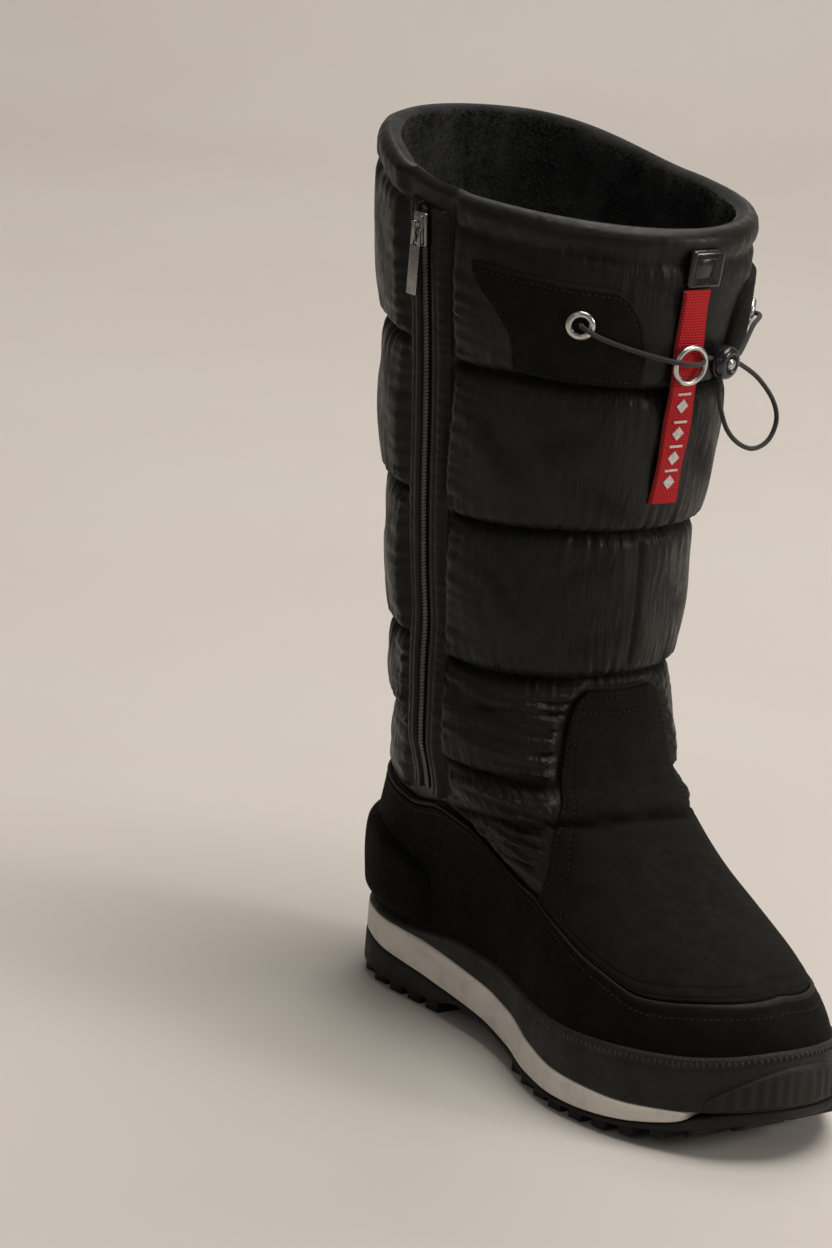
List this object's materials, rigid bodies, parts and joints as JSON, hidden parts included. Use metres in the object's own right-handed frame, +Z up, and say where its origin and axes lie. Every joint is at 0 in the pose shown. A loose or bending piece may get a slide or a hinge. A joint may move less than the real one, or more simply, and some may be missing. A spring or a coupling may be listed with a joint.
{
  "type": "snow boot",
  "caption": "Quilted mid-calf snow boot with inner side zip, drawcord collar, rubber rand and lugged sole, for a left foot.",
  "frame": {"origin": "on the floor under the middle of the heel, on the middle block of a heel lug row", "axes": "+Z up the shaft, -Y towards the toe, +X towards the outer side of the foot"},
  "size_m": [0.1437, 0.2913, 0.3643],
  "materials": {
    "rubber": "fine matt pebble",
    "foam": "pale moulded foam",
    "lining": "felt and short pile",
    "nylon": "half gloss quilted nylon",
    "suede": "deep matt coated cloth",
    "softshell": "matt knitted softshell",
    "tape": "woven zip tape",
    "metal": "bright nickel, darker on the zip",
    "plastic": "polished black",
    "webbing": "red woven ribbon",
    "cord": "round braided elastic"
  },
  "bodies": {
    "boot": {"outsole": "rubber", "midsole": "foam", "rand": "rubber", "insole": "lining", "upper": "nylon", "mudguard": "suede", "heel_counter": "suede", "vamp_panel": "softshell", "zip_tape": "tape", "zip_teeth": "metal", "placket_front": "nylon", "placket_back": "nylon", "zip_slider": "metal", "eyelet_patch_inner": "softshell", "eyelet_patch_outer": "softshell", "eyelet_inner": "metal", "eyelet_outer": "metal", "loop_tab": "plastic", "strap": "webbing", "strap_ring": "metal", "cord_lock": "plastic", "cord_inner": "cord", "cord_outer": "cord", "cord_loop": "cord"},
    "pull": {"zip_pull": "metal"}
  },
  "joints": [
    {"name": "zip_pull_swing", "type": "hinge", "parent": "boot", "child": "pull", "pos_m": [-0.07208, -0.01384, 0.33073], "axis": [0.0483, 0.9988, 0], "range_deg": [0, 160]}
  ]
}
